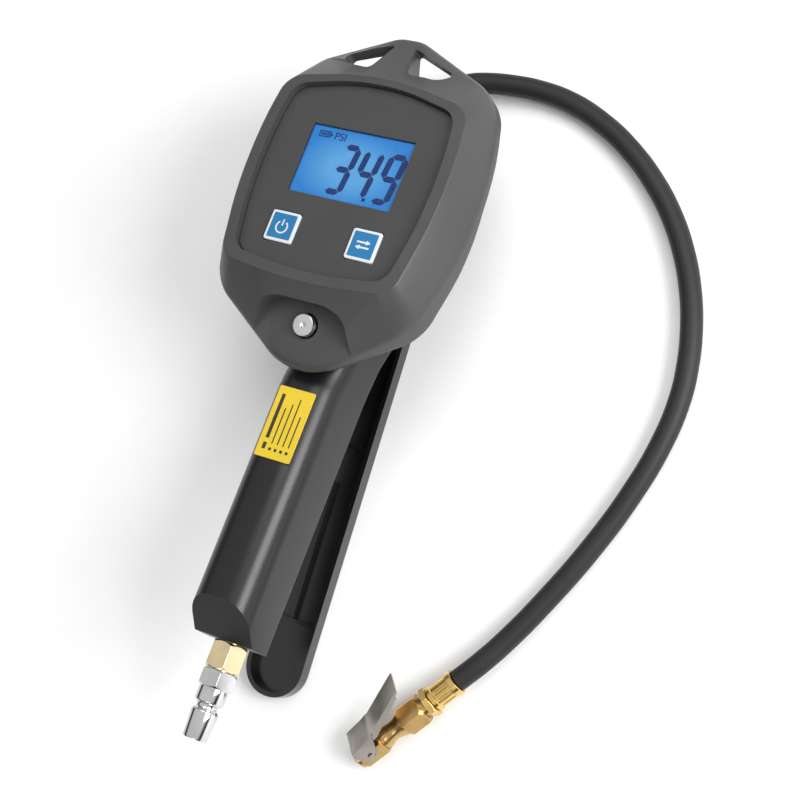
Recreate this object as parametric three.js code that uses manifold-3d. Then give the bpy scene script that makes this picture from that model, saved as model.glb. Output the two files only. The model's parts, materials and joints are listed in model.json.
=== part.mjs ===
// Digital tyre pressure gauge and inflator gun: display head, cast grip with squeeze lever,
// air plug, rubber hose and clip-on chuck. Millimetres, +Z up, lying on its back on z = 0.
import * as THREE from 'three';
import { mergeVertices } from 'three/addons/utils/BufferGeometryUtils.js';
import Module from 'manifold-3d';

const wasm = await Module();
wasm.setup();

// ---------------------------------------------------------------- driving dimensions
// Gun frame: X across the face, Y up the face, Z out of it, origin at the middle of the screen.
const TILT = THREE.MathUtils.degToRad(9);     // the lever's back lies on the floor, so the face leans
const GUN_Y = 94.64;                          // puts the gun's box over the origin
const FLOOR_DEPTH = 77.8;                     // floor below the face, measured along Z at Y = 0
const GAP = 0.3;                              // clearance between touching pieces
const WALL = 2.5;                             // moulded shell wall

const SCREEN = { w: 50, h: 32 };
const KEY = { size: 14, x: 20.05, y: -33.3, rise: 0.8, travel: 0.6 };
const PANEL_T = 1.8;
const RIM_Z = 3.6;                            // bezel rim above the panel
const SPLIT_Z = -22;                          // parting line of the two shells
const BACK_Z = -31.9;                         // rear cover's outer face

// Outlines: right-hand corners from the bottom up, [x, y, length cut off each side, z].
const RIM_OUT = [[12, -56.2, 9], [42.4, -52.8, 7], [50.4, -4, 26], [44.8, 34.9, 8], [12, 41.3, 9]];
const RIM_IN = [[12, -51.2, 9], [37.4, -47.8, 6], [44.8, -6, 26], [39.6, 31.2, 6], [12, 37.5, 9]];
const BODY = [[10, -86.8, 8, -21], [48.8, -60.5, 9, -11], [60, -2, 34, -20], [46.8, 49.6, 11, -13],
  [5.5, 66.6, 3, -8]];
const CAVITY = [[12, -57.5, 9], [43.5, -54, 8], [54, -3, 30], [43.6, 38, 9], [12, 42, 9]];
const COVER_TOP = [[43.5, 45.5, 9], [8, 46, 6]];
const LOOP_HOLE = [[9.5, 45.6, 2.5], [22.5, 46.6, 3], [27, 53, 3], [4.6, 61.4, 2.2]];

const BLEED = { y: -69.7, z: -12, lean: THREE.MathUtils.degToRad(12), r: 5, travel: 2.5 };

// Grip casting, depths measured behind the face.
const GRIP = { bottom: -203.5, top: 6, half: 15, shoulder: 22, front: 30.2, seat: 32.3, back: 65.5 };
const PLUG_DEPTH = 57.5;
const OUTLET = { x: -15, depth: 56 };
const VALVE = { y: -46, r: 6.5 };
const PIVOT = { y: -28, depth: 72.5, r: 2 };
const SENSOR = { x: -13, y: -25 };

// Floor frame: level, z = 0 the floor, origin under the gun frame's. The lever's back lies on the floor.
const LEVER = { half: 14.5, top: -30.5, tip: -232, wall: 7, t: 2.2, ear: 15 };

const HOSE_R = 4.9;
const HOSE = [                                // free hose from ferrule to chuck, in the floor frame
  [-15, 24.75, 16.2], [-14.7, 33.8, 14.9], [-12.5, 41.2, 13.8], [-8, 49.2, 12.5], [-0.4, 57, 11.2],
  [8.8, 62.2, 10], [18.2, 64.7, 8.9], [28, 65.9, 7.9], [42, 66.2, 6.6], [58.5, 63.8, 5.5], [75.3, 57.6, 5],
  [92.2, 47.9, 5], [107.2, 35.8, 5], [119.3, 22.8, 5], [129.2, 8.4, 5], [136.7, -6.6, 5], [142.2, -22.8, 5],
  [145.4, -39, 5], [146.3, -54.9, 5], [143.8, -75.8, 5], [137.6, -98.9, 5], [128.2, -123.9, 5],
  [116.2, -149.6, 5.2], [102.9, -174.6, 6.5], [94.8, -187.3, 7.4], [87.6, -196.9, 7.6],
];
const CHUCK = { length: 57, height: 7.6, yaw: Math.atan2(0.8, 0.6), roll: 0.95 };

// ---------------------------------------------------------------- geometry helpers
function toSolid(geometry) {
  const bare = geometry.clone();
  bare.deleteAttribute('normal');
  bare.deleteAttribute('uv');
  const merged = mergeVertices(bare, 1e-4);
  return new wasm.Manifold(new wasm.Mesh({
    numProp: 3,
    vertProperties: merged.attributes.position.array,
    triVerts: Uint32Array.from(merged.index.array),
  }));
}

function toGeometry(solid) {
  const mesh = solid.getMesh();
  const geometry = new THREE.BufferGeometry();
  geometry.setAttribute('position', new THREE.BufferAttribute(Float32Array.from(mesh.vertProperties), 3));
  geometry.setIndex(Array.from(mesh.triVerts));
  geometry.computeVertexNormals();
  return geometry;
}

// Outline from corners [x, y, cut, z]: each corner is a short curve that starts and ends `cut` away.
function outline(corners, steps = 3) {
  const points = [];
  corners.forEach(([x, y, cut, z = 0], i) => {
    const before = corners[(i + corners.length - 1) % corners.length];
    const after = corners[(i + 1) % corners.length];
    const here = new THREE.Vector2(x, y);
    const toBefore = new THREE.Vector2(before[0], before[1]).sub(here).setLength(cut);
    const toAfter = new THREE.Vector2(after[0], after[1]).sub(here).setLength(cut);
    const curve = new THREE.QuadraticBezierCurve(here.clone().add(toBefore), here, here.clone().add(toAfter));
    curve.getPoints(steps).forEach((p) => points.push(new THREE.Vector3(p.x, p.y, z)));
  });
  return points;
}

function mirrored(right) {
  const left = right.map(([x, ...rest]) => [-x, ...rest]).reverse();
  return [...right, ...left];
}

// A symmetric face outline at height z, or at the corners' own heights, drawn in by `inset`.
function ring(right, z = null, inset = 0, steps = 3) {
  const middle = -8;
  const half = Math.max(...right.map((c) => c[0]));
  const k = 1 - inset / half;
  return outline(mirrored(right), steps).map((p) => {
    const y = middle + (p.y - middle) * k;
    return new THREE.Vector3(p.x * k, y, z === null ? p.z : z);
  });
}

// Closed solid through rings of equal length, each anticlockwise seen from the first ring's side.
function loft(rings) {
  const count = rings[0].length;
  const position = [];
  const index = [];
  rings.flat().forEach((p) => position.push(p.x, p.y, p.z));
  for (let r = 0; r < rings.length - 1; r += 1) {
    for (let i = 0; i < count; i += 1) {
      const a = r * count + i;
      const b = r * count + ((i + 1) % count);
      index.push(a, a + count, b, b, a + count, b + count);
    }
  }
  [rings[0], rings[rings.length - 1]].forEach((cap, end) => {
    const centre = cap.reduce((sum, p) => sum.add(p), new THREE.Vector3()).divideScalar(count);
    const hub = position.length / 3;
    position.push(centre.x, centre.y, centre.z);
    const base = end === 0 ? 0 : (rings.length - 1) * count;
    for (let i = 0; i < count; i += 1) {
      const a = base + i;
      const b = base + ((i + 1) % count);
      index.push(...(end === 0 ? [hub, a, b] : [hub, b, a]));
    }
  });
  const geometry = new THREE.BufferGeometry();
  geometry.setAttribute('position', new THREE.Float32BufferAttribute(position, 3));
  geometry.setIndex(index);
  return toSolid(geometry);
}

// Prism of a flat outline between two heights.
function slab(points, z0, z1) {
  const shape = new THREE.Shape(points.map((p) => new THREE.Vector2(p.x, p.y)));
  const geometry = new THREE.ExtrudeGeometry(shape, { depth: z1 - z0, bevelEnabled: false });
  return toSolid(geometry.translate(0, 0, z0));
}

// Prism of an outline given as [y, z] pairs, running across X.
function sideSlab(pairs, x0, x1) {
  const shape = new THREE.Shape(pairs.map(([y, z]) => new THREE.Vector2(y, z)));
  const geometry = new THREE.ExtrudeGeometry(shape, { depth: x1 - x0, bevelEnabled: false });
  const basis = new THREE.Matrix4().makeBasis(
    new THREE.Vector3(0, 1, 0),
    new THREE.Vector3(0, 0, 1),
    new THREE.Vector3(1, 0, 0),
  );
  return toSolid(geometry.applyMatrix4(basis).translate(x0, 0, 0));
}

function box(x0, x1, y0, y1, z0, z1) {
  const geometry = new THREE.BoxGeometry(x1 - x0, y1 - y0, z1 - z0);
  return toSolid(geometry.translate((x0 + x1) / 2, (y0 + y1) / 2, (z0 + z1) / 2));
}

function along(geometry, from, to) {
  const start = new THREE.Vector3(...from);
  const way = new THREE.Vector3(...to).sub(start).normalize();
  const turn = new THREE.Quaternion().setFromUnitVectors(new THREE.Vector3(0, 1, 0), way);
  return geometry.applyQuaternion(turn).translate(start.x, start.y, start.z);
}

// Round bar from one point to another.
function rod(from, to, r, sides = 20) {
  const length = new THREE.Vector3(...from).distanceTo(new THREE.Vector3(...to));
  const geometry = new THREE.CylinderGeometry(r, r, length, sides).translate(0, length / 2, 0);
  return toSolid(along(geometry, from, to));
}

function hexBar(from, to, acrossFlats, turn = 0) {
  const length = new THREE.Vector3(...from).distanceTo(new THREE.Vector3(...to));
  const corner = acrossFlats / Math.sqrt(3);
  const geometry = new THREE.CylinderGeometry(corner, corner, length, 6);
  return toSolid(along(geometry.rotateY(turn).translate(0, length / 2, 0), from, to));
}

// Turned piece: profile of [radius, distance] pairs about the line from one point to another.
function turned(profile, from, to, sides = 20) {
  const points = profile.map(([r, d]) => new THREE.Vector2(r, d));
  return toSolid(along(new THREE.LatheGeometry(points, sides), from, to));
}

// Washer, seal or coil sleeve: a closed ring section.
function sleeve(rIn, rOut, d0, d1, from, to, sides = 18) {
  const profile = [[rIn, d0], [rOut, d0], [rOut, d1], [rIn, d1], [rIn, d0]];
  return turned(profile, from, to, sides);
}

function joined(...solids) {
  return solids.reduce((sum, solid) => sum.add(solid));
}

function cut(solid, ...tools) {
  return tools.reduce((rest, tool) => rest.subtract(tool), solid);
}

// ---------------------------------------------------------------- materials
function paint(color, roughness, metalness) {
  return new THREE.MeshStandardMaterial({ color, roughness, metalness });
}

const FINISH = {
  housing: paint(0x5f5f62, 0.55, 0),
  cover: paint(0x4a4a4d, 0.6, 0),
  grip: paint(0x343436, 0.5, 0.1),
  lever: paint(0x1c1c1e, 0.3, 0.1),
  panel: paint(0x4f4f50, 0.45, 0),
  lens: paint(0xbfd8f0, 0.1, 0),
  screen: paint(0x3f8fe0, 0.3, 0),
  key: paint(0x2a84bd, 0.4, 0),
  gasket: paint(0x151515, 0.8, 0),
  board: paint(0x1d6b3a, 0.5, 0),
  part: paint(0x2b2b2b, 0.5, 0),
  steel: paint(0xb8b8ba, 0.3, 1),
  chrome: paint(0xe6e6e8, 0.08, 1),
  brass: paint(0xc9a24b, 0.25, 1),
  spring: paint(0x9a9a9c, 0.35, 1),
  cell: paint(0x2d4f86, 0.35, 0.3),
  label: paint(0xe8cf2a, 0.5, 0),
  hose: paint(0x2e2e31, 0.7, 0),
  seal: paint(0x101010, 0.7, 0),
  clip: paint(0xa9a29a, 0.35, 1),
};

function add(group, name, solid, finish) {
  const mesh = new THREE.Mesh(toGeometry(solid), FINISH[finish]);
  mesh.name = name;
  group.add(mesh);
}

// ---------------------------------------------------------------- bleed valve axis
const bleedOut = new THREE.Vector3(0, -Math.sin(BLEED.lean), Math.cos(BLEED.lean));

// Point on the bleed axis, `depth` behind the button's face.
function bleedAt(depth) {
  return [0, BLEED.y - bleedOut.y * depth, BLEED.z - bleedOut.z * depth];
}

// ---------------------------------------------------------------- display head
const HOUSING_SCREWS = [[38, 27], [38.5, -45], [-38.5, -45], [-38, 27]];
const BODY_SCREWS = [[15, -10], [11, -69], [-11, -69], [-15, -10]];

function chinScoop() {
  const floor = 3.4;
  const corners = [[27, -16, 5], [21, 6, 4], [13, 9.5, 4]];
  const points = outline(mirrored(corners), 4);
  const shape = new THREE.Shape(points.map((p) => new THREE.Vector2(p.x, p.y)));
  const geometry = new THREE.ExtrudeGeometry(shape, { depth: 30, bevelEnabled: false });
  geometry.rotateX(BLEED.lean);
  return toSolid(geometry.translate(...bleedAt(floor)));
}

function frontHousing() {
  const outer = loft([
    ring(RIM_OUT, RIM_Z, 0.9),
    ring(RIM_OUT, RIM_Z - 0.9),
    ring(BODY),
    ring(BODY, SPLIT_Z),
  ]);
  const cavity = loft([
    ring(RIM_IN, -5.4, 3),
    ring(CAVITY, -14),
    ring(CAVITY, SPLIT_Z - 1),
  ]);
  const window = slab(ring(RIM_IN, 0, 0), -3.2, RIM_Z + 1);
  const ledge = slab(ring(RIM_IN, 0, 2.6), -7, 0);
  const holes = [1, -1].map((side) => {
    const corners = LOOP_HOLE.map(([x, y, c]) => [x * side, y, c]);
    if (side < 0) corners.reverse();
    return slab(outline(corners, 3), SPLIT_Z - 2, RIM_Z);
  });
  const bosses = HOUSING_SCREWS.map(([x, y]) => rod([x, y, SPLIT_Z], [x, y, -4.5], 3.6, 14));
  const bores = HOUSING_SCREWS.map(([x, y]) => rod([x, y, SPLIT_Z - 1], [x, y, -13], 1.75, 10));
  const pockets = [1, -1].map((side) => box(side * 9, side * 24, -71, -60.5, SPLIT_Z - 1, -16)
    .add(box(side * 24, side * 33, -66, -60.5, SPLIT_Z - 1, -16)));
  const behindLoop = box(-34, 34, 46.8, 72, SPLIT_Z - 1, -13);
  return cut(
    joined(cut(outer, cavity, window, ledge), ...bosses),
    ...holes,
    ...bores,
    behindLoop,
    chinScoop(),
    rod(bleedAt(-1), bleedAt(8), 5.7, 24),
    rod(bleedAt(7), bleedAt(14), 2.2, 14),
  );
}

function rearCover() {
  const edge = [...BODY.slice(0, 3).map(([x, y, c]) => [x, y, c]), ...COVER_TOP];
  const outer = loft([
    ring(edge, SPLIT_Z - GAP, 0.3),
    ring(edge, -27.5, 1.6),
    ring(edge, BACK_Z, 7),
  ]);
  const hollow = loft([
    ring(edge, SPLIT_Z, 2.8),
    ring(edge, -27, 4.2),
    ring(edge, BACK_Z + WALL, 9.5),
  ]);
  const posts = HOUSING_SCREWS.map(([x, y]) => rod([x, y, -30.5], [x, y, SPLIT_Z - GAP], 3.6, 14));
  const screwWays = HOUSING_SCREWS.map(([x, y]) => rod([x, y, BACK_Z - 1], [x, y, SPLIT_Z], 1.8, 10)
    .add(rod([x, y, BACK_Z - 1], [x, y, -29.5], 3.4, 14)));
  const bodyWays = BODY_SCREWS.map(([x, y]) => rod([x, y, BACK_Z - 1], [x, y, -28], 2.2, 10));
  const doorBoss = box(-4, 4, 33, 40, -29.2, -25);
  return cut(
    joined(cut(outer, hollow), ...posts, doorBoss),
    box(-30.4, 30.4, 9.1, 36.9, BACK_Z - 1, -29.3),
    rod([0, 34.2, BACK_Z], [0, 34.2, -24], 1.6, 10),
    rod([SENSOR.x, SENSOR.y, BACK_Z - 1], [SENSOR.x, SENSOR.y, -28], 3.6, 16),
    rod(bleedAt(8), bleedAt(24), 4.4, 16),
    ...screwWays,
    ...bodyWays,
  );
}

function screw(x, y, headZ, tipZ, headR, shankR) {
  const socket = hexBar([x, y, headZ - 1], [x, y, headZ + 1], headR);
  return cut(rod([x, y, headZ], [x, y, headZ + 1.8], headR, 16), socket)
    .add(rod([x, y, headZ + 1.7], [x, y, tipZ], shankR, 10));
}

function keyTop(side) {
  const half = KEY.size / 2;
  const corners = (w, c) => outline([[w, -w, c], [w, w, c], [-w, w, c], [-w, -w, c]], 2)
    .map((p) => p.add(new THREE.Vector3(side * KEY.x, KEY.y, 0)));
  const stalk = rod([side * KEY.x, KEY.y, -3.6], [side * KEY.x, KEY.y, -2.5], 2.4, 14);
  return joined(slab(corners(half, 1.2), -2.5, KEY.rise), slab(corners(half + 1, 1.5), -2.9, -2.1), stalk);
}

function buildHead(gun) {
  add(gun, 'front_housing', frontHousing(), 'housing');
  add(gun, 'rear_cover', rearCover(), 'cover');

  const keyHalf = KEY.size / 2 + 0.4;
  const keyHoles = [1, -1].map((side) => {
    const x = side * KEY.x;
    return box(x - keyHalf, x + keyHalf, KEY.y - keyHalf, KEY.y + keyHalf, -4, 2);
  });
  const pane = (grow, z0, z1) => {
    const [w, h] = [SCREEN.w / 2 + grow, SCREEN.h / 2 + grow];
    return box(-w, w, -h, h, z0, z1);
  };
  const panel = slab(ring(RIM_IN, 0, 0.35), -PANEL_T, 0);
  add(gun, 'face_panel', cut(panel, pane(GAP, -4, 2), ...keyHoles), 'panel');
  const gasket = slab(ring(RIM_IN, 0, 0.4), -2.9, -2.1);
  add(gun, 'panel_gasket', cut(gasket, slab(ring(RIM_IN, 0, 2.3), -4, 0)), 'gasket');
  add(gun, 'screen_lens', pane(0, -1.1, -0.1), 'lens');
  const glass = pane(0, -4, -1.4);
  add(gun, 'lcd_module', glass.add(box(-29, 29, -20.5, 19.5, -6.4, -3.9)), 'screen');
  add(gun, 'power_button', keyTop(-1), 'key');
  add(gun, 'unit_button', keyTop(1), 'key');
  add(gun, 'circuit_board', box(-32, 32, -46, 27, -9.8, -8.2), 'board');
  [-1, 1].forEach((side, i) => {
    const x = side * KEY.x;
    const body = box(x - 3, x + 3, KEY.y - 3, KEY.y + 3, -7.9, -4.9);
    add(gun, `tact_switch_${i + 1}`, body.add(rod([x, KEY.y, -5], [x, KEY.y, -4.2], 1.7, 12)), 'part');
  });

  [17.2, 28.8].forEach((y, i) => {
    const cell = rod([-22.2, y, -18.3], [21.2, y, -18.3], 5.2, 20);
    add(gun, `battery_${i + 1}`, cell.add(rod([21, y, -18.3], [22.2, y, -18.3], 1.9, 12)), 'cell');
    const spring = sleeve(1.9, 3.2, 0, 2.6, [-25.2, y, -18.3], [-22, y, -18.3], 14);
    add(gun, `battery_spring_${i + 1}`, spring, 'spring');
  });
  add(gun, 'contact_plate_left', box(-26.3, -25.5, 12.5, 33.5, -23, -13), 'steel');
  add(gun, 'contact_plate_right', box(22.6, 23.4, 12.5, 33.5, -23, -13), 'steel');
  const doorWay = rod([0, 34.2, BACK_Z - 1], [0, 34.2, -29], 1.8, 12)
    .add(rod([0, 34.2, BACK_Z - 1], [0, 34.2, BACK_Z + 1], 2.2, 14));
  add(gun, 'battery_door', cut(box(-30, 30, 9.5, 36.5, BACK_Z, -29.7), doorWay), 'cover');
  const doorScrew = rod([0, 34.2, BACK_Z + 0.1], [0, 34.2, BACK_Z + 0.7], 2, 14)
    .add(rod([0, 34.2, BACK_Z + 0.6], [0, 34.2, -25.5], 1.3, 10));
  add(gun, 'battery_door_screw', doorScrew, 'steel');

  HOUSING_SCREWS.forEach(([x, y], i) => {
    add(gun, `housing_screw_${i + 1}`, screw(x, y, BACK_Z + 0.3, -14, 3, 1.4), 'steel');
  });
  BODY_SCREWS.forEach(([x, y], i) => {
    const head = rod([x, y, -29.1], [x, y, -27.2], 3.4, 14).add(rod([x, y, -29], [x, y, -40], 1.9, 10));
    add(gun, `body_screw_${i + 1}`, head, 'steel');
  });

  const at = (z) => [SENSOR.x, SENSOR.y, z];
  add(gun, 'pressure_sensor', rod(at(-26), at(-10.2), 6, 20).add(rod(at(-38), at(-25), 2.6, 14)), 'steel');
  add(gun, 'sensor_seal', sleeve(2.9, 4.3, 0, 1.4, at(-34.2), at(-30)), 'seal');
}

function buildBleedValve(gun) {
  const { r } = BLEED;
  const head = [[0, 0.5], [0.6, 0.5], [0.6, 0], [r - 0.5, 0], [r, 0.5], [r, 3.4]];
  const face = [...head, [1.5, 3.4], [1.5, 24], [0, 24]];
  add(gun, 'bleed_button', turned(face, bleedAt(0), bleedAt(10), 24), 'chrome');
  add(gun, 'bleed_spring', sleeve(1.9, 3.4, 3.7, 7.7, bleedAt(0), bleedAt(10), 16), 'spring');
  add(gun, 'bleed_bushing', sleeve(1.9, 4, 21, 24.8, bleedAt(0), bleedAt(10), 16), 'brass');
  add(gun, 'bleed_seal', sleeve(1.9, 3.9, 25.1, 26.2, bleedAt(0), bleedAt(10), 16), 'seal');
}

// ---------------------------------------------------------------- grip casting and its fittings
function gripSection(y, half, front) {
  const side = mirrored([[half, -GRIP.back, 3.5], [half - 0.4, -front, 11]]);
  return outline(side, 4).map((p) => new THREE.Vector3(p.x, y, p.y));
}

function gripBody() {
  const body = loft([
    gripSection(GRIP.bottom, GRIP.half, GRIP.front),
    gripSection(-92, GRIP.half, GRIP.front),
    gripSection(-81, GRIP.half + 0.2, GRIP.seat),
    gripSection(-68, GRIP.half + 1, GRIP.seat),
    gripSection(-56, GRIP.half + 3.4, GRIP.seat),
    gripSection(-44, GRIP.shoulder, GRIP.seat),
    gripSection(GRIP.top, GRIP.shoulder, GRIP.seat),
  ]);
  const lugTip = [PIVOT.y, -PIVOT.depth];
  const lugSide = [[7, -64], [5, lugTip[1]], [-5, lugTip[1]], [-7, -64]].map(([y, z]) => [PIVOT.y + y, z]);
  const lug = sideSlab(lugSide, -10, 10).add(rod([-10, ...lugTip], [10, ...lugTip], 5, 20));
  const slant = sideSlab([[-187.5, -29], [-206, -29], [-206, -49], [-203.6, -49]].reverse(), -20, 20);
  const x = OUTLET.x;
  return cut(
    body.add(lug),
    slant,
    rod([-12, ...lugTip], [12, ...lugTip], PIVOT.r + 0.3, 16),
    rod([0, -206, -PLUG_DEPTH], [0, -190, -PLUG_DEPTH], 5.3, 18),
    rod([0, -192, -PLUG_DEPTH], [0, -50, -42], 3.6, 12),
    rod([0, VALVE.y, -30], [0, VALVE.y, -48], VALVE.r, 20),
    rod([0, VALVE.y, -47], [0, VALVE.y, -70], 3.4, 16),
    rod([0, VALVE.y, -61], [0, VALVE.y, -70], 6.3, 18),
    rod([x, 8, -OUTLET.depth], [x, -6, -OUTLET.depth], 5.3, 18),
    rod([x, -4, -OUTLET.depth], [x, -68, -OUTLET.depth], 3, 12),
    rod([x, VALVE.y, -OUTLET.depth], [0, VALVE.y, -OUTLET.depth], 2.8, 12),
    rod([SENSOR.x, SENSOR.y, -30], [SENSOR.x, SENSOR.y, -55], 3, 14),
    rod([SENSOR.x, SENSOR.y, -30], [SENSOR.x, SENSOR.y, -34.6], 4.7, 18),
    rod(bleedAt(18), bleedAt(26.6), 4.3, 16),
    rod([-3.5, -65.5, -36.5], [x + 1, -65.5, -55], 1.4, 8),
    ...BODY_SCREWS.map(([sx, sy]) => rod([sx, sy, -30], [sx, sy, -42], 2.2, 10)),
  );
}

function buildGrip(gun) {
  add(gun, 'grip_body', gripBody(), 'grip');
  const labelFace = -GRIP.front + GAP;
  add(gun, 'label_plate', box(-9, 9, -126, -93.5, labelFace, labelFace + 0.7), 'label');

  const down = (d) => [0, GRIP.bottom - d, -PLUG_DEPTH];
  const nipple = hexBar(down(GAP), down(12.5), 15, Math.PI / 6).add(rod(down(-11), down(1), 4.9, 16));
  const inletWays = [rod(down(-13), down(6), 2.8, 12), rod(down(5), down(14), 4.7, 14)];
  add(gun, 'inlet_adapter', cut(nipple, ...inletWays), 'brass');
  const profile = [[0, 5.6], [4.3, 5.6], [4.3, 12.8], [7.2, 12.8], [7.2, 13.4], [6.6, 21.4], [6.6, 27],
    [4.8, 28], [4.8, 29.6], [6.2, 31], [6, 34], [5.5, 43.5], [0, 43.5]];
  const waist = turned(profile, down(0), down(1), 24);
  const plug = waist.add(hexBar(down(12.8), down(20.6), 15, Math.PI / 6));
  add(gun, 'air_plug', cut(plug, rod(down(5), down(45), 3.4, 16)), 'chrome');

  const up = (d) => [OUTLET.x, GRIP.top + d, -OUTLET.depth];
  const outlet = joined(
    hexBar(up(GAP), up(9.5), 14, Math.PI / 6),
    rod(up(-10), up(1), 4.9, 16),
    rod(up(9), up(25), 2.9, 12),
  );
  add(gun, 'outlet_fitting', cut(outlet, rod(up(-12), up(26), 1.8, 10)), 'brass');

  const capBore = rod([0, VALVE.y, -33.7], [0, VALVE.y, -37], 2.2, 16);
  const cap = rod([0, VALVE.y, -32.5], [0, VALVE.y, -36], 6.2, 20);
  add(gun, 'valve_cap', cut(cap, capBore), 'brass');
  const valveLine = [[0, VALVE.y, 0], [0, VALVE.y, -1]];
  const stem = [[0, 37.8], [1.8, 37.8], [1.8, 41.5], [5.6, 41.5], [5.6, 44.8], [2.2, 44.8], [2.2, 74.2],
    [1.2, 75.8], [0, 76.2]];
  add(gun, 'valve_stem', turned(stem, ...valveLine, 18), 'brass');
  add(gun, 'valve_seal', sleeve(2.5, 5.4, 45.1, 46.6, ...valveLine), 'seal');
  add(gun, 'valve_spring', sleeve(2.3, 4.6, 36.3, 41.2, ...valveLine), 'spring');
  add(gun, 'valve_gland', sleeve(2.5, 6, 61.3, 66.5, ...valveLine), 'brass');

  const axis = [PIVOT.y, -PIVOT.depth];
  const pin = rod([-16.2, ...axis], [15, ...axis], PIVOT.r, 16);
  add(gun, 'lever_pin', pin.add(rod([14.9, ...axis], [16.2, ...axis], 3.4, 18)), 'steel');
  add(gun, 'pin_clip', sleeve(PIVOT.r + 0.05, 3.6, 0, 0.8, [-15.9, ...axis], [0, ...axis]), 'steel');
  add(gun, 'lever_spring', sleeve(2.5, 4.4, 0, 1.5, [10.3, ...axis], [20, ...axis]), 'spring');
}

// The lever's own frame is the floor's, so its back is flat on z = 0.
function triggerLever() {
  const { half, top, tip, wall, t, ear } = LEVER;
  const plan = (inset) => {
    const w = half - inset;
    return outline(mirrored([[w, tip + inset, w * 0.97], [w, top - inset, 3]]), 5);
  };
  const channel = cut(slab(plan(0), 0, wall), slab(plan(t), t, wall + 1));
  const pivotY = PIVOT.y * Math.cos(TILT) - PIVOT.depth * Math.sin(TILT);
  const pivotZ = -PIVOT.y * Math.sin(TILT) + (FLOOR_DEPTH - PIVOT.depth) * Math.cos(TILT);
  const ears = [1, -1].map((side) => {
    const x0 = side > 0 ? half - t : -half;
    const cheek = [[pivotY - 26, wall - 1], [pivotY - 6, ear], [pivotY + 4, ear], [pivotY + 7.5, wall - 1]];
    return sideSlab(cheek.reverse(), x0, x0 + t);
  });
  const ribs = [box(-half + 1, half - 1, -113, -111.4, t - 0.5, wall - 1.5),
    box(-half + 1, half - 1, -196.6, -195, t - 0.5, wall - 0.8),
    box(-0.8, 0.8, -196, -130, t - 0.5, wall - 2)];
  const valveY = VALVE.y * Math.cos(TILT) - 76.4 * Math.sin(TILT);
  const pad = rod([0, valveY, t - 0.5], [0, valveY, 8.2], 4.2, 16);
  const bore = rod([-half - 2, pivotY, pivotZ], [half + 2, pivotY, pivotZ], PIVOT.r + 0.3, 16);
  return cut(joined(channel, ...ears, ...ribs, pad), bore);
}

// ---------------------------------------------------------------- chuck, built along X from its mouth
function buildChuck(chuck) {
  const on = (d) => [d, 0, 0];
  const profile = [[0, 0], [5.5, 0], [5.8, 0.3], [5.8, 1.8], [5, 2], [5, 14], [5.6, 15], [4.3, 19],
    [4.6, 22], [6.4, 27], [5.4, 28], [5.4, 39.6], [0, 39.6]];
  const body = turned(profile, on(0), on(1), 24)
    .add(hexBar(on(1.8), on(14.6), 12, Math.PI / 6))
    .add(hexBar(on(27), on(38), 13, Math.PI / 6));
  const bore = turned([[0, -1], [4.5, -1], [4.5, 0], [4.2, 0.8], [4.2, 10.4], [0, 10.4]], on(0), on(1), 20);
  const rivets = [1, -1].map((side) => rod([7.5, 1.5, side * 4.9], [7.5, 1.5, side * 7], 1.4, 12));
  const slot = box(1, 5.2, 3, 9, -3.2, 3.2);
  add(chuck, 'chuck_body', cut(body, bore, rod(on(9), on(41), 2, 12), slot, ...rivets), 'brass');
  add(chuck, 'chuck_seal', sleeve(2, 3.9, 8.6, 10.1, on(0), on(1)), 'seal');
  const core = [[0, 6], [0.9, 6], [1, 6.4], [1, 12], [1.65, 12], [1.65, 13.6], [0, 13.6]];
  add(chuck, 'chuck_core', turned(core, on(0), on(1), 14), 'brass');
  add(chuck, 'core_spring', sleeve(0.9, 1.6, 13.9, 19, on(0), on(1), 12), 'spring');
  const stem = hexBar(on(39.9), on(43.2), 12.4).add(rod(on(43), on(56.4), 2.9, 14));
  add(chuck, 'chuck_stem', cut(stem, rod(on(39), on(58), 1.8, 10)), 'brass');
  add(chuck, 'chuck_ferrule', sleeve(3.2, 5.9, 43.5, CHUCK.length, on(0), on(1), 20), 'brass');
  [1, -1].forEach((side, i) => {
    const shank = rod([7.5, 1.5, side * 5.2], [7.5, 1.5, side * 7.6], 1.1, 12);
    const head = rod([7.5, 1.5, side * 7.5], [7.5, 1.5, side * 8.1], 1.7, 14);
    add(chuck, `clip_rivet_${i + 1}`, shank.add(head), 'steel');
  });

  const folded = (points, z0, z1) => slab(points.map(([x, y]) => new THREE.Vector2(x, y)), z0, z1);
  const thumb = [[2, 7.6], [13, 9], [38, 20.2], [37.6, 21.2], [12.7, 10.1], [2, 8.7]];
  const cheek = [[2, 8.2], [2.4, 4], [5.6, -0.9], [9.4, -0.9], [14.5, 9.6], [12.9, 10]];
  const lip = [[15, 7.2], [36.3, 18.4], [36, 19.6], [13, 9.6], [13, 7.6]];
  const width = joined(box(0, 15, 0, 30, -7.2, 7.2), box(14, 40, 0, 30, -6.2, 6.2));
  const holes = rod([7.5, 1.5, -9], [7.5, 1.5, 9], 1.4, 14);
  const lever = joined(
    folded(thumb, -7.2, 7.2).intersect(width),
    folded(cheek, 6.4, 7.2),
    folded(cheek, -7.2, -6.4),
    folded(lip, 5.5, 6.2),
    folded(lip, -6.2, -5.5),
    box(2, 3.4, 5, 8.2, -2.4, 2.4),
  );
  add(chuck, 'clip_lever', cut(lever, holes), 'clip');
  add(chuck, 'clip_spring', sleeve(1.2, 2.2, 0, 1, [11.2, 7.2, 0], [11.3, 8.2, 0], 12), 'spring');
}

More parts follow.
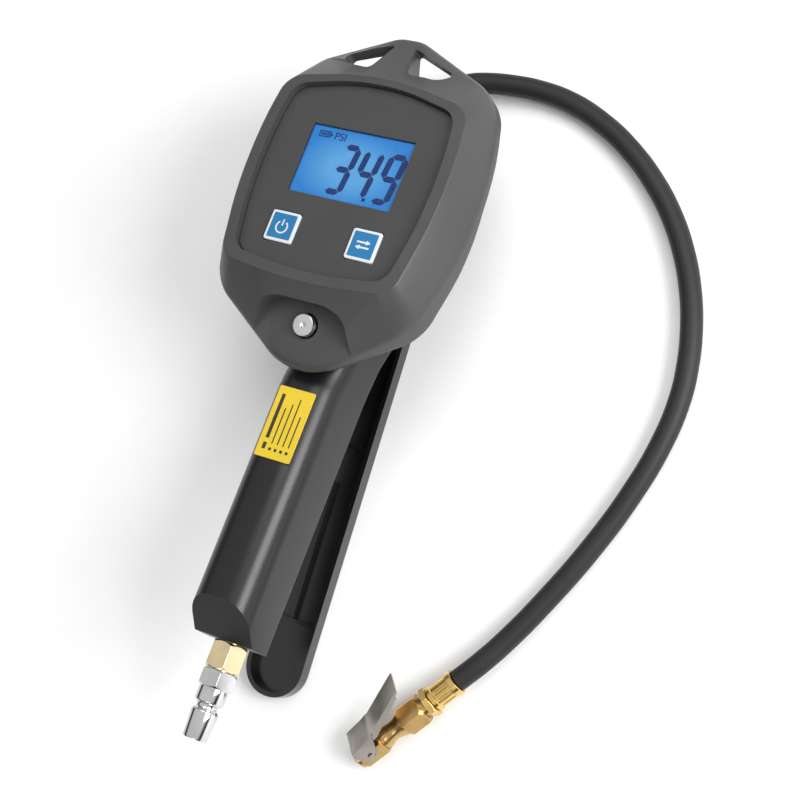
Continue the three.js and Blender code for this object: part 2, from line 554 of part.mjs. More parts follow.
// ---------------------------------------------------------------- hose
function hoseSolid() {
  const path = new THREE.CatmullRomCurve3(HOSE.map((p) => new THREE.Vector3(...p)), false, 'centripetal');
  const section = new THREE.Shape(new THREE.EllipseCurve(0, 0, HOSE_R, HOSE_R).getPoints(10).slice(0, 10));
  return toSolid(new THREE.ExtrudeGeometry(section, { steps: 34, extrudePath: path, bevelEnabled: false }));
}

// ---------------------------------------------------------------- assembly
const inflator = new THREE.Group();

const gun = new THREE.Group();
gun.rotation.x = -TILT;
gun.position.set(0, GUN_Y, FLOOR_DEPTH * Math.cos(TILT));
buildHead(gun);
buildBleedValve(gun);
buildGrip(gun);
const ferruleFrom = [OUTLET.x, GRIP.top + 9.9, -OUTLET.depth];
const ferruleTo = [OUTLET.x, GRIP.top + 30, -OUTLET.depth];
add(gun, 'gun_ferrule', sleeve(3.2, 6.6, 0, 17.6, ferruleFrom, ferruleTo, 20), 'brass');
inflator.add(gun);

const ground = new THREE.Group();
ground.position.set(0, GUN_Y, 0);
add(ground, 'trigger_lever', triggerLever(), 'lever');
add(ground, 'air_hose', hoseSolid(), 'hose');

const end = HOSE[HOSE.length - 1];
const chuck = new THREE.Group();
chuck.rotation.set(CHUCK.roll, 0, CHUCK.yaw, 'ZYX');
chuck.position.set(
  end[0] - Math.cos(CHUCK.yaw) * (CHUCK.length + GAP),
  end[1] - Math.sin(CHUCK.yaw) * (CHUCK.length + GAP),
  CHUCK.height,
);
buildChuck(chuck);
ground.add(chuck);
inflator.add(ground);

export default inflator;
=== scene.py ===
import json
import math

import bmesh
import bpy
from mathutils import Matrix, Quaternion, Vector


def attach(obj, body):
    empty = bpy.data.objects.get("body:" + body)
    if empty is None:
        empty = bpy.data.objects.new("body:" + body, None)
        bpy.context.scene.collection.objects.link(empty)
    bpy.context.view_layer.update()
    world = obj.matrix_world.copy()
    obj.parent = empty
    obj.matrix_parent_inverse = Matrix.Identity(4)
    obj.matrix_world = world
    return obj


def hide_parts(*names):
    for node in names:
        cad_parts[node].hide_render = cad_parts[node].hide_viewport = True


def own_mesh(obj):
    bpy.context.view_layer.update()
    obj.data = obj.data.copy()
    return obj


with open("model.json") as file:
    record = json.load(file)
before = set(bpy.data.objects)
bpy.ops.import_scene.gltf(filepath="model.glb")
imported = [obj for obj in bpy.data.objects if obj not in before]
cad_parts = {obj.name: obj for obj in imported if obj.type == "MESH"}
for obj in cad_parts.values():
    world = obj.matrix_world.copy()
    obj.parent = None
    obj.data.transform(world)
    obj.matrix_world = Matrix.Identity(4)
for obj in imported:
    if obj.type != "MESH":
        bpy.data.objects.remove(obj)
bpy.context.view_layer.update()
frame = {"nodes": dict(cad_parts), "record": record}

# ------------------------------------------------------------------ frames, in millimetres
# In the gun's own axes X is to the right, Y is up the grip and Z is out of the panel, which lies at zero.
# A depth is measured down from the panel. On the ground Z is up, and the gun leans back by TILT.
TILT = math.radians(9)
GUN_Y = 94.64
FLOOR_DEPTH = 77.8
MM = Matrix.Diagonal((0.001, 0.001, 0.001, 1))
GROUND = MM @ Matrix.Translation((0, GUN_Y, 0))
LEAN = Matrix.Rotation(-TILT, 4, "X")
GUN = MM @ Matrix.Translation((0, GUN_Y, FLOOR_DEPTH * math.cos(TILT))) @ LEAN
BLEED_LEAN = math.radians(12)
BLEED_OUT = Vector((0, -math.sin(BLEED_LEAN), math.cos(BLEED_LEAN)))
BLEED_FACE = Vector((0, -69.7, -12))
GRIP_END = -203.5
GRIP_HALF = 15
GRIP_FRONT = 30.2
GRIP_SEAT = 32.3
GRIP_BACK = 65.5
PLUG_DEPTH = 57.5
PIVOT_Y = -28
PIVOT_DEPTH = 72.5
VALVE_Y = -46
STEM_TIP = 76.4

# ------------------------------------------------------------------ camera
camera_data = bpy.data.cameras.new("camera")
camera_data.lens = 81
camera_data.sensor_width = 36
camera_data.clip_end = 50
camera = bpy.data.objects.new("camera", camera_data)
bpy.context.scene.collection.objects.link(camera)
bpy.context.scene.camera = camera
eye = Vector((373.45, -236.12, 635.37))
looked_at = Vector((61.6503, -92.7036, 0))
roll = Matrix.Rotation(math.radians(-46.9231), 4, "Z")
aimed = (looked_at - eye).to_track_quat("-Z", "Y").to_matrix().to_4x4()
camera.matrix_world = Matrix.Translation(GUN @ eye) @ LEAN @ aimed @ roll
bpy.context.scene.view_settings.view_transform = "Standard"
bpy.context.scene.view_settings.look = "None"


# ------------------------------------------------------------------ shared shaping steps
def as_object(bm, name):
    """Turns a finished bmesh into an object of that name."""
    mesh = bpy.data.meshes.new(name)
    bm.to_mesh(mesh)
    bm.free()
    piece = bpy.data.objects.new(name, mesh)
    bpy.context.scene.collection.objects.link(piece)
    return piece


def carve(piece, tool, operation="DIFFERENCE"):
    """Cuts tool out of piece, or joins or crosses them, and leaves plain mesh."""
    step = piece.modifiers.new("carve", "BOOLEAN")
    step.object = tool
    step.operation = operation
    step.solver = "EXACT"
    bpy.context.view_layer.update()
    shaped = piece.evaluated_get(bpy.context.evaluated_depsgraph_get())
    bm = bmesh.new()
    bm.from_mesh(shaped.data)
    bmesh.ops.remove_doubles(bm, verts=bm.verts, dist=2e-3)
    bmesh.ops.dissolve_degenerate(bm, edges=bm.edges, dist=1e-3)
    bmesh.ops.holes_fill(bm, edges=[edge for edge in bm.edges if edge.is_boundary], sides=0)
    piece.modifiers.clear()
    bm.to_mesh(piece.data)
    bm.free()
    bpy.data.objects.remove(tool)
    return piece


def mirrored(right):
    """The right-hand corners of an outline, then their mirror images."""
    return right + [(-corner[0],) + tuple(corner[1:]) for corner in reversed(right)]


def shrunk(right, inset):
    """A face outline's right-hand corners drawn in by inset, towards the middle of the face."""
    middle = -8
    k = 1 - inset / max(corner[0] for corner in right)
    return [(c[0] * k, middle + (c[1] - middle) * k, c[2] * k) + tuple(c[3:]) for c in right]


def square(half, cut, x=0.0, y=0.0):
    """A square's corners round (x, y), each cut by cut."""
    sides = [(x + half, y - half), (x + half, y + half), (x - half, y + half), (x - half, y - half)]
    return [(*corner, cut) for corner in sides]


def oblong(left, right, low, high, cut):
    """An oblong's corners, each cut by cut."""
    return [(right, low, cut), (right, high, cut), (left, high, cut), (left, low, cut)]


def rounded_loop(bm, corners, height=None, segments=8):
    """A closed ring of edges through corners (x, y, cut, z), each corner rounded off."""
    known = set(bm.edges)
    ring = [bm.verts.new((c[0], c[1], c[3] if height is None else height)) for c in corners]
    bm.faces.new(ring)
    for vert, corner in zip(ring, corners):
        bmesh.ops.bevel(bm, geom=[vert], offset=corner[2], offset_type="OFFSET", segments=segments,
                        profile=0.5, affect="VERTICES", material=-1)
    fresh = [edge for edge in bm.edges if edge not in known]
    faces = list({face for edge in fresh for face in edge.link_faces})
    bmesh.ops.delete(bm, geom=faces, context="FACES_ONLY")
    return fresh


def skin(bm, loops, closed=False):
    """Walls between neighbouring rings, with ends capped unless the wall closes on itself."""
    pairs = list(zip(loops, loops[1:] + loops[:1])) if closed else list(zip(loops, loops[1:]))
    for low, high in pairs:
        bmesh.ops.bridge_loops(bm, edges=low + high)
    if not closed:
        for ring in (loops[0], loops[-1]):
            bmesh.ops.contextual_create(bm, geom=ring)
    bmesh.ops.recalc_face_normals(bm, faces=bm.faces)


def prism(corners, low, high, name="tool", segments=6):
    """An outline with rounded corners made solid from low to high."""
    bm = bmesh.new()
    ends = [rounded_loop(bm, corners, height, segments) for height in (low, high)]
    skin(bm, ends)
    return as_object(bm, name)


def block(low, high, name="tool"):
    """A plain block between two opposite corners."""
    bm = bmesh.new()
    bmesh.ops.create_cube(bm, size=1)
    size = Vector(high) - Vector(low)
    middle = (Vector(high) + Vector(low)) / 2
    placed = Matrix.Translation(middle) @ Matrix.Diagonal((*size, 1))
    bmesh.ops.transform(bm, matrix=placed, verts=bm.verts)
    return as_object(bm, name)


def aim(start, end):
    """Turns a shape made along +Z to run from start towards end."""
    way = Vector(end) - Vector(start)
    return Matrix.Translation(start) @ way.to_track_quat("Z", "Y").to_matrix().to_4x4()


def turned(profile, name="tool", segments=48, line=Matrix.Identity(4)):
    """A turned shape: profile of (radius, distance) pairs spun about the line."""
    bm = bmesh.new()
    verts = [bm.verts.new((r, 0, d)) for r, d in profile]
    edges = [bm.edges.new(pair) for pair in zip(verts, verts[1:])]
    bmesh.ops.spin(bm, geom=verts + edges, cent=(0, 0, 0), axis=(0, 0, 1), angle=math.tau,
                   steps=segments, use_merge=True)
    bmesh.ops.remove_doubles(bm, verts=bm.verts, dist=1e-4)
    bmesh.ops.recalc_face_normals(bm, faces=bm.faces)
    bmesh.ops.transform(bm, matrix=line, verts=bm.verts)
    return as_object(bm, name)


def rod(start, end, radius, name="tool", segments=32):
    """A round bar from start to end."""
    length = (Vector(end) - Vector(start)).length
    profile = [(0, 0), (radius, 0), (radius, length), (0, length)]
    return turned(profile, name, segments, aim(start, end))


def nut(start, end, across, name="tool", turn=0.0, chamfer=1.0):
    """A hexagon bar with turned-off ends."""
    length = (Vector(end) - Vector(start)).length
    corner = across / math.sqrt(3)
    bm = bmesh.new()
    bmesh.ops.create_cone(bm, cap_ends=True, segments=6, radius1=corner, radius2=corner, depth=length)
    spin = Matrix.Rotation(turn, 4, "Z")
    bmesh.ops.transform(bm, matrix=spin @ Matrix.Translation((0, 0, length / 2)), verts=bm.verts)
    bar = as_object(bm, name)
    low = across / 2 * 0.97
    wide = corner * 1.04
    slope = chamfer * 1.25
    face = 0.01
    lens = turned([(0, face), (low, face), (wide, slope), (wide, length - slope), (low, length - face),
                   (0, length - face)], segments=72)
    carve(bar, lens, "INTERSECT")
    bar.data.transform(aim(start, end))
    return bar


def soften(piece, width, angle):
    """Rounds the edges that are sharper than angle."""
    step = piece.modifiers.new("edge radius", "BEVEL")
    step.width = width * 0.001
    step.segments = 3
    step.limit_method = "ANGLE"
    step.angle_limit = math.radians(angle)
    step.use_clamp_overlap = True
    step.harden_normals = True
    step.miter_outer = "MITER_ARC"


def place(piece, base, body, look, nodes=(), edge=0.0, crease=32):
    """Puts a finished piece where the frame says, gives it its body and finish, and hides the CAD nodes that
    it stands in for.
    """
    piece.data.transform(base)
    piece.data.materials.clear()
    piece.data.materials.append(look)
    piece.data.shade_smooth()
    piece.data.set_sharp_from_angle(angle=math.radians(crease))
    if edge:
        soften(piece, edge, crease)
    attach(piece, body)
    if nodes:
        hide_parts(*nodes)
    return piece


# ------------------------------------------------------------------ finishes
def start_material(name):
    """A new material with an empty node tree, its nodes and its links."""
    material = bpy.data.materials.new(name)
    material.use_nodes = True
    tree = material.node_tree
    tree.nodes.clear()
    return material, tree.nodes, tree.links


def tidy_layout(nodes, column=220, row=260):
    """Sets the nodes out in reading order."""
    loose = [node for node in nodes if node.bl_idname != "NodeFrame"]
    for index, node in enumerate(loose):
        node.location = (index % 6 * column, -(index // 6) * row)


def moulded(name, colour, roughness, grain=0.25, depth=0.02, shift=0.12, coat=0.0):
    """Moulded plastic, coated casting or rubber: fine grain, slight shade and gloss changes."""
    material, nodes, links = start_material(name)
    shade_frame = nodes.new("NodeFrame")
    shade_frame.label = "uneven shade and gloss"
    grain_frame = nodes.new("NodeFrame")
    grain_frame.label = "moulded grain"
    place_in = nodes.new("ShaderNodeTexCoord")
    place_in.label = "place on the part"
    cloud = nodes.new("ShaderNodeTexNoise")
    cloud.label = "handling marks"
    cloud.parent = shade_frame
    cloud.inputs["Scale"].default_value = 38
    cloud.inputs["Detail"].default_value = 4
    shade = nodes.new("ShaderNodeValToRGB")
    shade.label = "shade range"
    shade.parent = shade_frame
    shade.color_ramp.elements[0].position = 0.3
    shade.color_ramp.elements[0].color = [c * (1 - shift) for c in colour] + [1]
    shade.color_ramp.elements[1].position = 0.7
    shade.color_ramp.elements[1].color = [min(1, c * (1 + shift)) for c in colour] + [1]
    gloss = nodes.new("ShaderNodeMapRange")
    gloss.label = "gloss range"
    gloss.parent = shade_frame
    gloss.inputs["To Min"].default_value = roughness - 0.06
    gloss.inputs["To Max"].default_value = roughness + 0.06
    pores = nodes.new("ShaderNodeTexNoise")
    pores.label = "spark texture"
    pores.parent = grain_frame
    pores.inputs["Scale"].default_value = 1000 / grain
    pores.inputs["Detail"].default_value = 2
    relief = nodes.new("ShaderNodeBump")
    relief.label = "grain height"
    relief.parent = grain_frame
    relief.inputs["Strength"].default_value = 0.5
    relief.inputs["Distance"].default_value = depth * 0.001
    surface = nodes.new("ShaderNodeBsdfPrincipled")
    surface.label = "plastic"
    surface.inputs["Specular IOR Level"].default_value = 0.35
    surface.inputs["Coat Weight"].default_value = coat
    surface.inputs["Coat Roughness"].default_value = 0.25
    output = nodes.new("ShaderNodeOutputMaterial")
    output.label = "surface"
    links.new(place_in.outputs["Object"], cloud.inputs["Vector"])
    links.new(place_in.outputs["Object"], pores.inputs["Vector"])
    links.new(cloud.outputs["Fac"], shade.inputs["Fac"])
    links.new(cloud.outputs["Fac"], gloss.inputs["Value"])
    links.new(shade.outputs["Color"], surface.inputs["Base Color"])
    links.new(gloss.outputs["Result"], surface.inputs["Roughness"])
    links.new(pores.outputs["Fac"], relief.inputs["Height"])
    links.new(relief.outputs["Normal"], surface.inputs["Normal"])
    links.new(surface.outputs["BSDF"], output.inputs["Surface"])
    tidy_layout(nodes)
    return material


def machined(name, colour, roughness, tone=0.12, tool_marks=0.006):
    """Turned or plated metal: fine tool marks, faint tarnish and finger marks."""
    material, nodes, links = start_material(name)
    tone_frame = nodes.new("NodeFrame")
    tone_frame.label = "tarnish and finger marks"
    mark_frame = nodes.new("NodeFrame")
    mark_frame.label = "tool marks"
    place_in = nodes.new("ShaderNodeTexCoord")
    place_in.label = "place on the part"
    bloom = nodes.new("ShaderNodeTexNoise")
    bloom.label = "tarnish"
    bloom.parent = tone_frame
    bloom.inputs["Scale"].default_value = 120
    bloom.inputs["Detail"].default_value = 5
    shade = nodes.new("ShaderNodeValToRGB")
    shade.label = "metal tones"
    shade.parent = tone_frame
    shade.color_ramp.elements[0].position = 0.3
    shade.color_ramp.elements[0].color = [c * (1 - tone) for c in colour] + [1]
    shade.color_ramp.elements[1].position = 0.65
    shade.color_ramp.elements[1].color = list(colour) + [1]
    gloss = nodes.new("ShaderNodeMapRange")
    gloss.label = "gloss range"
    gloss.parent = tone_frame
    gloss.inputs["To Min"].default_value = max(0.02, roughness - 0.05)
    gloss.inputs["To Max"].default_value = roughness + 0.07
    lines = nodes.new("ShaderNodeTexNoise")
    lines.label = "turning marks"
    lines.parent = mark_frame
    lines.inputs["Scale"].default_value = 2600
    lines.inputs["Detail"].default_value = 1
    relief = nodes.new("ShaderNodeBump")
    relief.label = "mark height"
    relief.parent = mark_frame
    relief.inputs["Strength"].default_value = 0.25
    relief.inputs["Distance"].default_value = tool_marks * 0.001
    surface = nodes.new("ShaderNodeBsdfPrincipled")
    surface.label = "metal"
    surface.inputs["Metallic"].default_value = 1
    output = nodes.new("ShaderNodeOutputMaterial")
    output.label = "surface"
    links.new(place_in.outputs["Object"], bloom.inputs["Vector"])
    links.new(place_in.outputs["Object"], lines.inputs["Vector"])
    links.new(bloom.outputs["Fac"], shade.inputs["Fac"])
    links.new(bloom.outputs["Fac"], gloss.inputs["Value"])
    links.new(shade.outputs["Color"], surface.inputs["Base Color"])
    links.new(gloss.outputs["Result"], surface.inputs["Roughness"])
    links.new(lines.outputs["Fac"], relief.inputs["Height"])
    links.new(relief.outputs["Normal"], surface.inputs["Normal"])
    links.new(surface.outputs["BSDF"], output.inputs["Surface"])
    tidy_layout(nodes)
    return material


def backlit_screen(name):
    """Liquid crystal screen lit from behind: pale in the middle, deeper blue towards its edges."""
    material, nodes, links = start_material(name)
    fade_frame = nodes.new("NodeFrame")
    fade_frame.label = "backlight fall-off"
    place_in = nodes.new("ShaderNodeTexCoord")
    place_in.label = "place on the part"
    centre = nodes.new("ShaderNodeMapping")
    centre.label = "from the screen's middle"
    centre.parent = fade_frame
    centre.vector_type = "TEXTURE"
    centre.inputs["Location"].default_value = GUN @ Vector((0, -1, -1.4))
    centre.inputs["Rotation"].default_value = (-TILT, 0, 0)
    centre.inputs["Scale"].default_value = (0.027, 0.0175, 0.02)
    spread = nodes.new("ShaderNodeTexGradient")
    spread.label = "glow from the middle"
    spread.parent = fade_frame
    spread.gradient_type = "SPHERICAL"
    glow = nodes.new("ShaderNodeValToRGB")
    glow.label = "glow colours"
    glow.parent = fade_frame
    glow.color_ramp.elements[0].position = 0.0
    glow.color_ramp.elements[0].color = (0.005, 0.125, 0.37, 1)
    glow.color_ramp.elements[1].position = 0.62
    glow.color_ramp.elements[1].color = (0.055, 0.22, 0.43, 1)
    surface = nodes.new("ShaderNodeBsdfPrincipled")
    surface.label = "screen glass"
    surface.inputs["Roughness"].default_value = 0.35
    surface.inputs["Emission Strength"].default_value = 0.35
    output = nodes.new("ShaderNodeOutputMaterial")
    output.label = "surface"
    links.new(place_in.outputs["Object"], centre.inputs["Vector"])
    links.new(centre.outputs["Vector"], spread.inputs["Vector"])
    links.new(spread.outputs["Fac"], glow.inputs["Fac"])
    links.new(glow.outputs["Color"], surface.inputs["Base Color"])
    links.new(glow.outputs["Color"], surface.inputs["Emission Color"])
    links.new(surface.outputs["BSDF"], output.inputs["Surface"])
    tidy_layout(nodes)
    return material


def clear_window(name):
    """Thin clear acrylic with faint wipe marks in its gloss."""
    material, nodes, links = start_material(name)
    place_in = nodes.new("ShaderNodeTexCoord")
    place_in.label = "place on the part"
    wipes = nodes.new("ShaderNodeTexNoise")
    wipes.label = "wipe marks"
    wipes.inputs["Scale"].default_value = 60
    gloss = nodes.new("ShaderNodeMapRange")
    gloss.label = "gloss range"
    gloss.inputs["To Min"].default_value = 0.08
    gloss.inputs["To Max"].default_value = 0.2
    surface = nodes.new("ShaderNodeBsdfPrincipled")
    surface.label = "acrylic"
    surface.inputs["Base Color"].default_value = (0.05, 0.08, 0.12, 1)
    surface.inputs["Alpha"].default_value = 0.03
    output = nodes.new("ShaderNodeOutputMaterial")
    output.label = "surface"
    links.new(place_in.outputs["Object"], wipes.inputs["Vector"])
    links.new(wipes.outputs["Fac"], gloss.inputs["Value"])
    links.new(gloss.outputs["Result"], surface.inputs["Roughness"])
    links.new(surface.outputs["BSDF"], output.inputs["Surface"])
    tidy_layout(nodes)
    return material


LOOK = {
    "housing": moulded("housing_soft_touch", (0.05, 0.05, 0.052), 0.4, 0.3, 0.02, 0.06),
    "cover": moulded("cover_plastic", (0.035, 0.035, 0.037), 0.5, 0.35, 0.03, 0.08),
    "panel": moulded("panel_plastic", (0.042, 0.042, 0.043), 0.42, 0.2, 0.008, 0.05),
    "grip": moulded("grip_coating", (0.006, 0.006, 0.0063), 0.36, 0.45, 0.03, 0.12, 0.15),
    "lever": moulded("lever_plastic", (0.004, 0.004, 0.0044), 0.22, 0.5, 0.01, 0.15, 0.6),
    "hose": moulded("hose_rubber", (0.014, 0.014, 0.015), 0.55, 0.6, 0.04, 0.15),
    "seal": moulded("nitrile_rubber", (0.015, 0.015, 0.015), 0.6, 0.4, 0.01, 0.2),
    "component": moulded("switch_plastic", (0.02, 0.02, 0.02), 0.5),
    "board": moulded("board_resist", (0.01, 0.12, 0.045), 0.35, 0.5, 0.01, 0.2, 0.3),
    "cell": moulded("cell_sleeve", (0.03, 0.09, 0.24), 0.35, 0.6, 0.005, 0.1, 0.4),
    "key": moulded("key_blue", (0.012, 0.14, 0.31), 0.42, 0.2, 0.005, 0.06),
    "print": moulded("white_print", (0.55, 0.58, 0.6), 0.5, 0.2, 0.003, 0.04),
    "segment": moulded("segment_ink", (0.003, 0.02, 0.12), 0.4, 0.3, 0.001, 0.08),
    "label": moulded("label_yellow", (0.6, 0.43, 0.02), 0.42, 0.4, 0.006, 0.05, 0.2),
    "ink": moulded("label_ink", (0.03, 0.025, 0.02), 0.5, 0.3, 0.002, 0.2),
    "steel": machined("zinc_plated_steel", (0.5, 0.5, 0.5), 0.32),
    "spring": machined("spring_steel", (0.42, 0.42, 0.42), 0.35),
    "chrome": machined("polished_chrome", (0.7, 0.7, 0.71), 0.08, 0.12, 0.002),
    "satin": machined("satin_chrome", (0.74, 0.74, 0.75), 0.2, 0.06, 0.004),
    "brass": machined("bright_brass", (0.83, 0.58, 0.2), 0.2, 0.2),
    "bronze": machined("toned_brass", (0.6, 0.4, 0.16), 0.24, 0.35),
    "pale": machined("pale_brass", (0.86, 0.72, 0.44), 0.24, 0.12),
    "clip": machined("nickel_plate", (0.42, 0.39, 0.35), 0.24, 0.25),
    "screen": backlit_screen("screen_glow"),
    "lens": clear_window("screen_window"),
}

# ------------------------------------------------------------------ hose
HOSE = [
    (-15, 24.75, 16.2), (-14.7, 33.8, 14.9), (-12.5, 41.2, 13.8), (-8, 49.2, 12.5), (-0.4, 57, 11.2),
    (8.8, 62.2, 10), (18.2, 64.7, 8.9), (28, 65.9, 7.9), (42, 66.2, 6.6), (58.5, 63.8, 5.5), (75.3, 57.6, 5),
    (92.2, 47.9, 5), (107.2, 35.8, 5), (119.3, 22.8, 5), (129.2, 8.4, 5), (136.7, -6.6, 5), (142.2, -22.8, 5),
    (145.4, -39, 5), (146.3, -54.9, 5), (143.8, -75.8, 5), (137.6, -98.9, 5), (128.2, -123.9, 5),
    (116.2, -149.6, 5.2), (102.9, -174.6, 6.5), (94.8, -187.3, 7.4), (87.6, -196.9, 7.6),
]
HOSE_DIAMETER = 9.8
CHUCK_LENGTH = 57
CHUCK_YAW = math.atan2(0.8, 0.6)
CHUCK_ROLL = 0.95
CHUCK_GAP = 0.3

hose_curve = bpy.data.curves.new("air_hose_rubber", "CURVE")
hose_curve.dimensions = "3D"
hose_curve.bevel_depth = HOSE_DIAMETER / 2000
hose_curve.bevel_resolution = 6
hose_curve.resolution_u = 8
hose_curve.use_fill_caps = True
spline = hose_curve.splines.new("BEZIER")
spline.bezier_points.add(len(HOSE) - 1)
for knot, point in zip(spline.bezier_points, HOSE):
    knot.co = GROUND @ Vector(point)
    knot.handle_left_type = "AUTO"
    knot.handle_right_type = "AUTO"
hose = bpy.data.objects.new("air_hose_rubber", hose_curve)
bpy.context.scene.collection.objects.link(hose)
hose_curve.materials.append(LOOK["hose"])
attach(hose, "gun")
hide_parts("air_hose")

hose_end = Vector(HOSE[-1])
mouth = Vector((
    hose_end.x - math.cos(CHUCK_YAW) * (CHUCK_LENGTH + CHUCK_GAP),
    hose_end.y - math.sin(CHUCK_YAW) * (CHUCK_LENGTH + CHUCK_GAP),
    hose_end.z,
))
CHUCK = (GROUND @ Matrix.Translation(mouth) @ Matrix.Rotation(CHUCK_YAW, 4, "Z")
         @ Matrix.Rotation(CHUCK_ROLL, 4, "X"))

# ------------------------------------------------------------------ display head
RIM_OUT = [(12, -56.2, 9), (42.4, -52.8, 7), (50.4, -4, 26), (44.8, 34.9, 8), (12, 41.3, 9)]
RIM_IN = [(12, -51.2, 9), (37.4, -47.8, 6), (44.8, -6, 26), (39.6, 31.2, 6), (12, 37.5, 9)]
BODY = [(10, -86.8, 8, -21), (48.8, -60.5, 9, -11), (60, -2, 34, -20), (46.8, 49.6, 11, -13),
        (5.5, 66.6, 3, -8)]
CAVITY = [(12, -57.5, 9), (43.5, -54, 8), (54, -3, 30), (43.6, 38, 9), (12, 42, 9)]
COVER_EDGE = [corner[:3] for corner in BODY[:3]] + [(43.5, 45.5, 9), (8, 46, 6)]
LOOP_HOLE = [(9.5, 45.6, 2.5), (22.5, 46.6, 3), (27, 53, 3), (4.6, 61.4, 2.2)]
RIM_Z = 3.6
SPLIT_Z = -22
BACK_Z = -31.9
LOOP_BACK_Z = -13
SCREEN = (50, 32)
KEY = (20.05, -33.3)
KEY_HALF = 7
KEY_PRINT = (0.85, 0.92)
HOUSING_SCREWS = [(38, 27), (38.5, -45), (-38.5, -45), (-38, 27)]


def bleed_at(depth):
    """A point on the bleed button's axis, depth below its face."""
    return BLEED_FACE - BLEED_OUT * depth


def front_housing():
    """The bezel and skirt as one hollow shell, with the loop holes and the chin's scoop cut out."""
    bm = bmesh.new()
    loops = [
        rounded_loop(bm, mirrored(shrunk(RIM_OUT, 0.5)), RIM_Z - 0.2),
        rounded_loop(bm, mirrored(RIM_OUT), RIM_Z - 0.7),
        rounded_loop(bm, mirrored(BODY)),
        rounded_loop(bm, mirrored(BODY), SPLIT_Z),
        rounded_loop(bm, mirrored(CAVITY), SPLIT_Z),
        rounded_loop(bm, mirrored(CAVITY), -14),
        rounded_loop(bm, mirrored(shrunk(RIM_IN, 2.6)), -5.4),
        rounded_loop(bm, mirrored(shrunk(RIM_IN, 2.4)), -3.3),
        rounded_loop(bm, mirrored(RIM_IN), -3.0),
        rounded_loop(bm, mirrored(RIM_IN), RIM_Z),
    ]
    skin(bm, loops, closed=True)
    shoulder = [edge for edge in loops[2] if edge.is_valid]
    bmesh.ops.bevel(bm, geom=shoulder, offset=2.2, offset_type="OFFSET", segments=4, profile=0.5,
                    affect="EDGES", material=-1)
    piece = as_object(bm, "head_front_shell")
    for side in (1, -1):
        corners = [(x * side, y, cut) for x, y, cut in LOOP_HOLE]
        carve(piece, prism(corners, SPLIT_Z - 3, RIM_Z + 3))
    scoop = prism(mirrored([(27, -16, 5), (21, 6, 4), (13, 9.5, 4)]), 0, 40, segments=8)
    scoop.data.transform(Matrix.Translation(bleed_at(3.4)) @ Matrix.Rotation(BLEED_LEAN, 4, "X"))
    carve(piece, scoop)
    carve(piece, block((-34, 46.8, SPLIT_Z - 1), (34, 72, LOOP_BACK_Z)))
    carve(piece, rod(bleed_at(-1), bleed_at(8), 5.7))
    return place(piece, GUN, "gun", LOOK["housing"], ["front_housing"], edge=0.55)


def rear_cover():
    """A dished cover with an opening for the battery door and sinks for the screws."""
    bm = bmesh.new()
    loops = [
        rounded_loop(bm, mirrored(shrunk(COVER_EDGE, 0.3)), SPLIT_Z - 0.3),
        rounded_loop(bm, mirrored(shrunk(COVER_EDGE, 1.6)), -27.5),
        rounded_loop(bm, mirrored(shrunk(COVER_EDGE, 7)), BACK_Z),
        rounded_loop(bm, mirrored(shrunk(COVER_EDGE, 9.5)), BACK_Z + 2.5),
        rounded_loop(bm, mirrored(shrunk(COVER_EDGE, 4.2)), -27),
        rounded_loop(bm, mirrored(shrunk(COVER_EDGE, 2.8)), SPLIT_Z - 0.3),
    ]
    for ring in (loops[2], loops[3]):
        bmesh.ops.contextual_create(bm, geom=ring)
    for low, high in ((0, 1), (1, 2), (3, 4), (4, 5), (5, 0)):
        bmesh.ops.bridge_loops(bm, edges=loops[low] + loops[high])
    bmesh.ops.recalc_face_normals(bm, faces=bm.faces)
    piece = as_object(bm, "head_rear_shell")
    carve(piece, block((-30.4, 9.1, BACK_Z - 1), (30.4, 36.9, BACK_Z + 5)))
    for x, y in HOUSING_SCREWS:
        carve(piece, rod((x, y, BACK_Z - 1), (x, y, -29.6), 3.4))
    return place(piece, GUN, "gun", LOOK["cover"], ["rear_cover"], edge=0.5)


def face_panel():
    """The flat panel with openings for the screen and the two keys."""
    piece = prism(mirrored(shrunk(RIM_IN, 0.35)), -1.8, 0, "face_panel_moulding", 8)
    w, h = SCREEN[0] / 2 + 0.3, SCREEN[1] / 2 + 0.3
    carve(piece, prism(oblong(-w, w, -h, h, 0.4), -5, 5))
    for side in (1, -1):
        carve(piece, prism(square(KEY_HALF + 0.4, 1.3, side * KEY[0], KEY[1]), -5, 5))
    return place(piece, GUN, "gun", LOOK["panel"], ["face_panel"], edge=0.25)


front_housing()
rear_cover()
face_panel()


# ------------------------------------------------------------------ keys
def key_cap(side, body, node):
    """A white cap with a coloured face let into it."""
    x, y = side * KEY[0], KEY[1]
    cap = prism(square(KEY_HALF, 1.2, x, y), -2.4, 0.8, node + "_cap")
    place(cap, GUN, body, LOOK["print"], [node], edge=0.45)
    face = prism(square(KEY_HALF - 1.25, 0.5, x, y), 0.79, 0.86, node + "_face")
    place(face, GUN, body, LOOK["key"], edge=0.05)


key_cap(-1, "power_key", "power_button")
key_cap(1, "unit_key", "unit_button")


